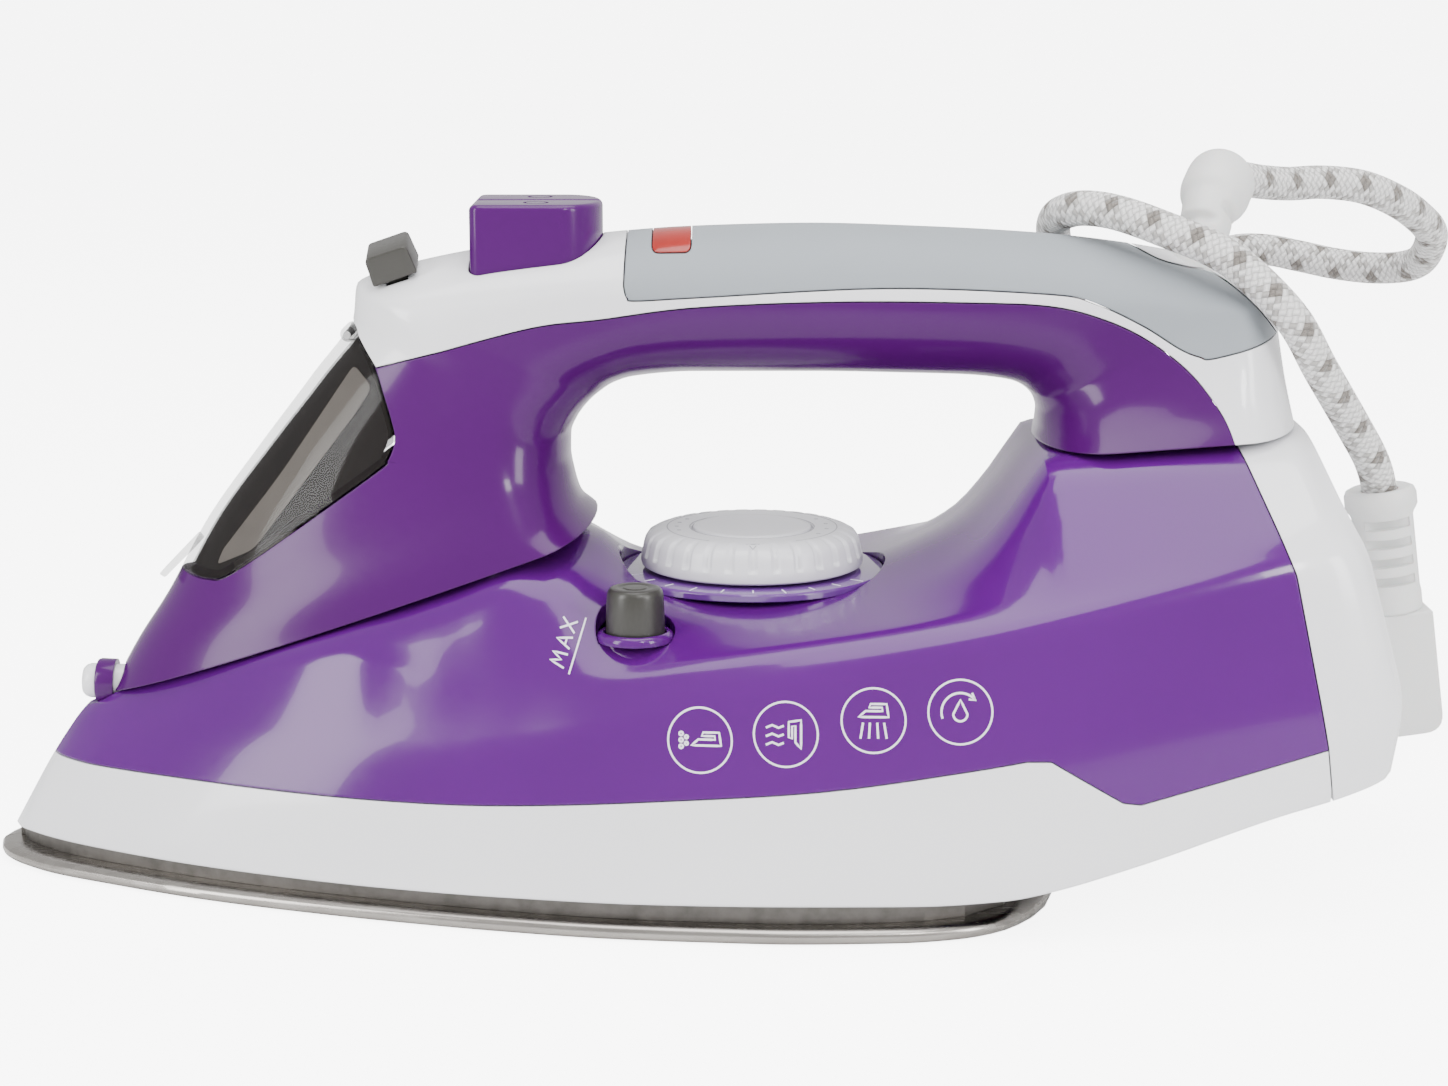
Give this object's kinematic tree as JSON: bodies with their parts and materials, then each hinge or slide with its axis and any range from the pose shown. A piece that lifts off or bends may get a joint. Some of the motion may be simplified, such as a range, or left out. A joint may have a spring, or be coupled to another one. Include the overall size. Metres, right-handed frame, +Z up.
{
  "type": "steam iron",
  "caption": "Steam iron with a pointed metal soleplate, looped handle, water tank, tilting fill lid, dial, push buttons, steam lever and a braided mains lead with plug.",
  "frame": {"origin": "under the middle of the iron's length, on its plane of symmetry, on the surface that the soleplate rests on", "axes": "+Z up, +X from the soleplate's tip towards the cord end, +Y away from the side with the self-clean button"},
  "size_m": [0.3144, 0.2504, 0.1464],
  "materials": {
    "polished_steel": "polished pewter",
    "cast_metal": "as cast, dark",
    "element_sheath": "dull",
    "dark_rubber": "matt",
    "stamped_steel": "satin",
    "ceramic_body": "matt",
    "fuse_metal": "satin",
    "white_gloss": "gloss",
    "white_matt": "matt",
    "tank_plastic": "translucent gloss",
    "purple_gloss": "deep gloss",
    "grip_rubber": "soft touch, matt",
    "smoke_clear": "smoked clear",
    "pin_steel": "bright",
    "inner_plastic": "natural",
    "spring_steel": "bright",
    "hose_silicone": "translucent white",
    "dark_satin": "satin",
    "dial_white": "satin gloss",
    "scale_clear": "clear purple",
    "red_lens": "translucent red",
    "lamp_glass": "clear",
    "wire_cover": "matt",
    "cord_boot": "satin",
    "braid": "woven, grey flecks",
    "plated_brass": "nickel plated"
  },
  "bodies": {
    "iron": {"soleplate": "polished_steel", "heater_casting": "cast_metal", "heating_element": "element_sheath", "chamber_gasket": "dark_rubber", "steam_chamber_cover": "stamped_steel", "thermostat": "ceramic_body", "thermal_fuse": "fuse_metal", "skirt": "white_gloss", "heel_plate": "white_matt", "water_tank": "tank_plastic", "rear_cover": "white_gloss", "handle_shell": "purple_gloss", "top_cover": "white_gloss", "soft_grip": "grip_rubber", "lid_hinge_pin": "pin_steel", "fill_funnel": "inner_plastic", "spray_nozzle": "white_gloss", "nozzle_collar": "purple_gloss", "spray_spring": "spring_steel", "steam_spring": "spring_steel", "spray_pump": "inner_plastic", "steam_pump": "inner_plastic", "spray_hose": "hose_silicone", "steam_hose": "hose_silicone", "lever_pivot": "pin_steel", "control_frame": "inner_plastic", "steam_valve_seat": "dark_rubber", "self_clean_collar": "tank_plastic", "scale_ring": "scale_clear", "pilot_light_lens": "red_lens", "pilot_lamp": "lamp_glass", "terminal_block": "ceramic_body", "power_wires": "wire_cover", "cord_clamp": "inner_plastic", "cover_screws": "pin_steel", "chamber_screws": "pin_steel", "cord_guard": "cord_boot", "cord_rise": "braid", "cord_coil": "braid", "cord_tie": "dark_rubber", "cord_drop": "braid", "plug_relief": "cord_boot", "plug_body": "cord_boot", "plug_pins": "plated_brass"},
    "lid": {"fill_lid": "smoke_clear"},
    "spray_key": {"spray_button": "purple_gloss", "spray_piston": "dark_rubber"},
    "steam_key": {"steam_button": "purple_gloss", "steam_piston": "dark_rubber"},
    "lever": {"steam_lever": "dark_satin"},
    "valve_rod": {"steam_valve_rod": "pin_steel"},
    "clean_key": {"self_clean_button": "dark_satin", "self_clean_plug": "dark_rubber"},
    "dial": {"temperature_dial": "dial_white", "dial_cap": "dial_white", "dial_shaft": "inner_plastic"}
  },
  "joints": [
    {"name": "lid_hinge", "type": "hinge", "parent": "iron", "child": "lid", "pos_m": [-0.0662, 0, 0.1102], "axis": [0, 1, 0], "range_deg": [0, 60]},
    {"name": "spray_press", "type": "slide", "parent": "iron", "child": "spray_key", "axis": [0, 0, -1], "range_m": [0, 0.004], "stiffness_N_per_m": 500, "springref_m": -0.003, "deforming": ["spray_spring"]},
    {"name": "steam_press", "type": "slide", "parent": "iron", "child": "steam_key", "axis": [0, 0, -1], "range_m": [0, 0.004], "stiffness_N_per_m": 600, "springref_m": -0.003, "deforming": ["steam_spring"]},
    {"name": "lever_swing", "type": "hinge", "parent": "iron", "child": "lever", "pos_m": [-0.04613, 0, 0.09483], "axis": [-0.9455, 0, -0.3256], "range_deg": [0, 22]},
    {"name": "valve_lift", "type": "slide", "parent": "iron", "child": "valve_rod", "axis": [0, 0, 1], "range_m": [0, 0.0026]},
    {"name": "clean_press", "type": "slide", "parent": "iron", "child": "clean_key", "axis": [0, 0, -1], "range_m": [0, 0.003], "stiffness_N_per_m": 500, "springref_m": -0.003},
    {"name": "dial_turn", "type": "hinge", "parent": "iron", "child": "dial", "pos_m": [0.016, 0, 0.062], "axis": [0, 0, 1], "range_deg": [-140, 140]}
  ],
  "couplings": [
    {"joint": "valve_lift", "follows": "lever_swing", "m_per_rad": 0.006511}
  ]
}
